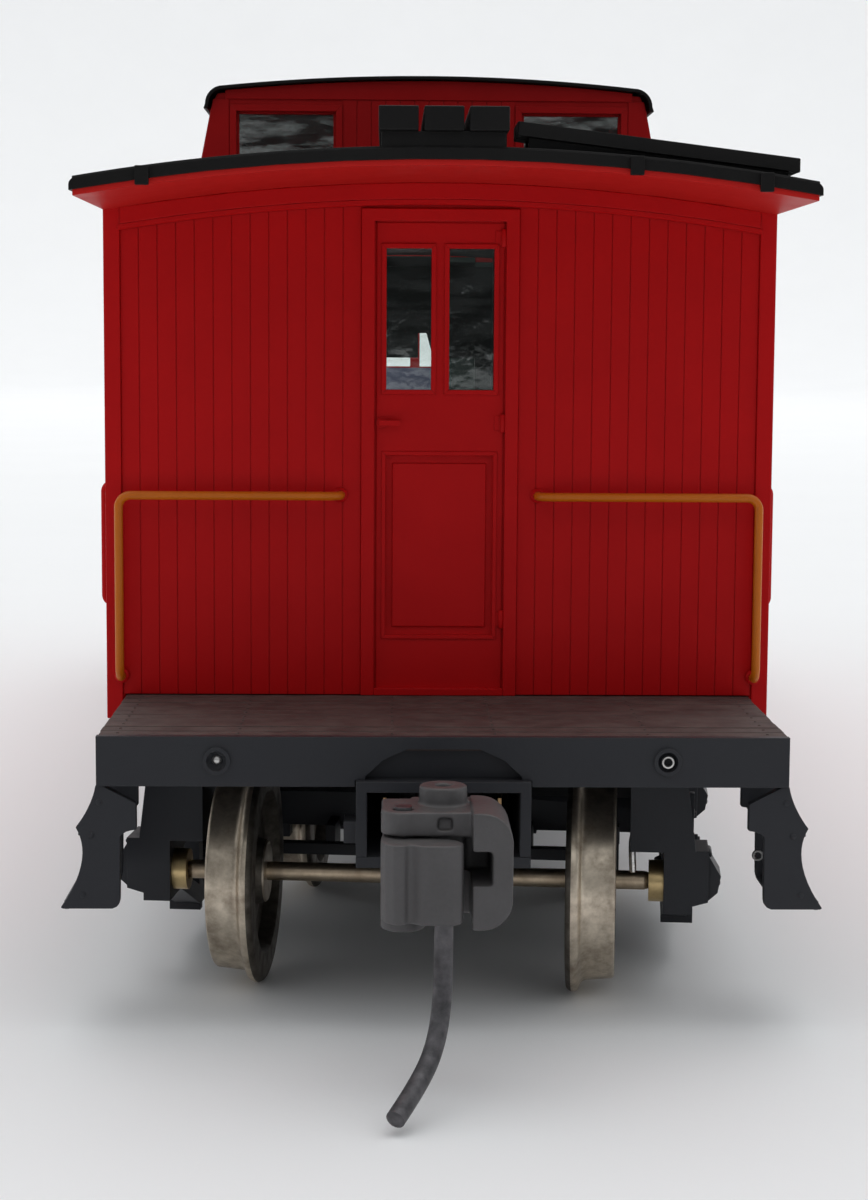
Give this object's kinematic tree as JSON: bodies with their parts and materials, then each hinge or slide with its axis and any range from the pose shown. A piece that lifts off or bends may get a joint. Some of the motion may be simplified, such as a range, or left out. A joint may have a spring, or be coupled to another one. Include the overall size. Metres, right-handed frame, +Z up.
{
  "type": "model caboose",
  "caption": "Small-scale railway caboose with a cupola: arched roof with walkway, glazed end doors, end platforms with steps, swivelling trucks and sprung knuckle couplers.",
  "frame": {"origin": "under the middle of the car, level with the lowest point of the wheel flanges", "axes": "+Z up, +Y along the car towards the far end, +X across the car; seen from the near (-Y) end, +X is to the right"},
  "size_m": [0.0342, 0.1584, 0.0475],
  "materials": {
    "body_red": "satin red paint over moulded sheathing",
    "roof_black": "flat black paint",
    "frame_black": "flat blue-black moulding",
    "deck_wood": "weathered grey-brown boards",
    "grab_yellow": "yellow paint on wire",
    "coupler_grey": "dull dark grey casting",
    "trip_wire": "blackened iron wire",
    "spring_bronze": "phosphor bronze strip and wire",
    "wheel_nickel": "turned metal with dulled treads",
    "axle_steel": "turned steel",
    "bearing_brass": "turned brass",
    "screw_steel": "blackened steel",
    "weight_steel": "rolled steel plate",
    "glazing": "thin clear sheet",
    "interior_green": "dark green moulding"
  },
  "bodies": {
    "car_body": {"body_shell": "body_red", "roof": "roof_black", "canopy_soffits": "body_red", "end_doors": "body_red", "door_glazing": "glazing", "door_handles": "body_red", "window_frames": "body_red", "side_glazing": "glazing", "cupola_shell": "body_red", "cupola_roof": "roof_black", "cupola_glazing": "glazing", "running_boards": "roof_black", "running_board_saddles": "roof_black", "lateral_running_boards": "roof_black", "roof_brackets": "roof_black", "smoke_jack": "roof_black", "end_grab_irons": "grab_yellow", "side_handrails": "body_red", "underframe": "frame_black", "platform_decks": "deck_wood", "end_sills": "frame_black", "steps": "frame_black", "centre_sill": "frame_black", "floor_framing": "frame_black", "body_bolsters": "frame_black", "floor_weight": "weight_steel", "interior_bulkheads": "interior_green", "brake_cylinder": "frame_black", "brake_rigging": "frame_black", "frame_screws": "screw_steel", "draft_boxes": "frame_black", "draft_box_lids": "frame_black", "centering_springs": "spring_bronze"},
    "near_coupler": {"near_coupler_head": "coupler_grey", "near_knuckle_pin": "screw_steel", "near_knuckle_spring": "spring_bronze"},
    "near_knuckle": {"near_knuckle": "coupler_grey", "near_trip_pin": "trip_wire"},
    "near_truck": {"near_truck_sideframes": "frame_black", "near_truck_bolster": "frame_black", "near_truck_bearings": "bearing_brass", "near_truck_brake_beams": "frame_black"},
    "far_coupler": {"far_coupler_head": "coupler_grey", "far_knuckle_pin": "screw_steel", "far_knuckle_spring": "spring_bronze"},
    "far_knuckle": {"far_knuckle": "coupler_grey", "far_trip_pin": "trip_wire"},
    "far_truck": {"far_truck_sideframes": "frame_black", "far_truck_bolster": "frame_black", "far_truck_bearings": "bearing_brass", "far_truck_brake_beams": "frame_black"},
    "wheelset_1": {"wheelset_1_axle": "axle_steel", "wheelset_1_wheels": "wheel_nickel"},
    "wheelset_2": {"wheelset_2_axle": "axle_steel", "wheelset_2_wheels": "wheel_nickel"},
    "wheelset_3": {"wheelset_3_axle": "axle_steel", "wheelset_3_wheels": "wheel_nickel"},
    "wheelset_4": {"wheelset_4_axle": "axle_steel", "wheelset_4_wheels": "wheel_nickel"}
  },
  "joints": [
    {"name": "near_truck_swivel", "type": "hinge", "parent": "car_body", "child": "near_truck", "pos_m": [0, -0.047, 0.0084], "axis": [0, 0, 1], "range_deg": [-1, 13]},
    {"name": "far_truck_swivel", "type": "hinge", "parent": "car_body", "child": "far_truck", "pos_m": [0, 0.047, 0.0084], "axis": [0, 0, 1], "range_deg": [-7, 7]},
    {"name": "wheelset_1_roll", "type": "hinge", "parent": "near_truck", "child": "wheelset_1", "pos_m": [-0.00105, -0.05695, 0.00535], "axis": [0.9945, -0.1045, 0], "continuous": true},
    {"name": "wheelset_2_roll", "type": "hinge", "parent": "near_truck", "child": "wheelset_2", "pos_m": [0.00105, -0.03705, 0.00535], "axis": [0.9945, -0.1045, 0], "continuous": true},
    {"name": "wheelset_3_roll", "type": "hinge", "parent": "far_truck", "child": "wheelset_3", "pos_m": [0, 0.037, 0.00535], "axis": [1, 0, 0], "continuous": true},
    {"name": "wheelset_4_roll", "type": "hinge", "parent": "far_truck", "child": "wheelset_4", "pos_m": [0, 0.057, 0.00535], "axis": [1, 0, 0], "continuous": true},
    {"name": "near_coupler_swing", "type": "hinge", "parent": "car_body", "child": "near_coupler", "pos_m": [0, -0.0594, 0.00955], "axis": [0, 0, 1], "range_deg": [-10, 10], "stiffness_Nm_per_rad": 0.0004},
    {"name": "near_knuckle_open", "type": "hinge", "parent": "near_coupler", "child": "near_knuckle", "pos_m": [-0.00185, -0.0732, 0.0091], "axis": [0, 0, -1], "range_deg": [0, 25], "stiffness_Nm_per_rad": 0.0002},
    {"name": "far_coupler_swing", "type": "hinge", "parent": "car_body", "child": "far_coupler", "pos_m": [0, 0.0594, 0.00955], "axis": [0, 0, 1], "range_deg": [-10, 10], "stiffness_Nm_per_rad": 0.0004},
    {"name": "far_knuckle_open", "type": "hinge", "parent": "far_coupler", "child": "far_knuckle", "pos_m": [0.00185, 0.0732, 0.0091], "axis": [0, 0, -1], "range_deg": [0, 25], "stiffness_Nm_per_rad": 0.0002}
  ]
}
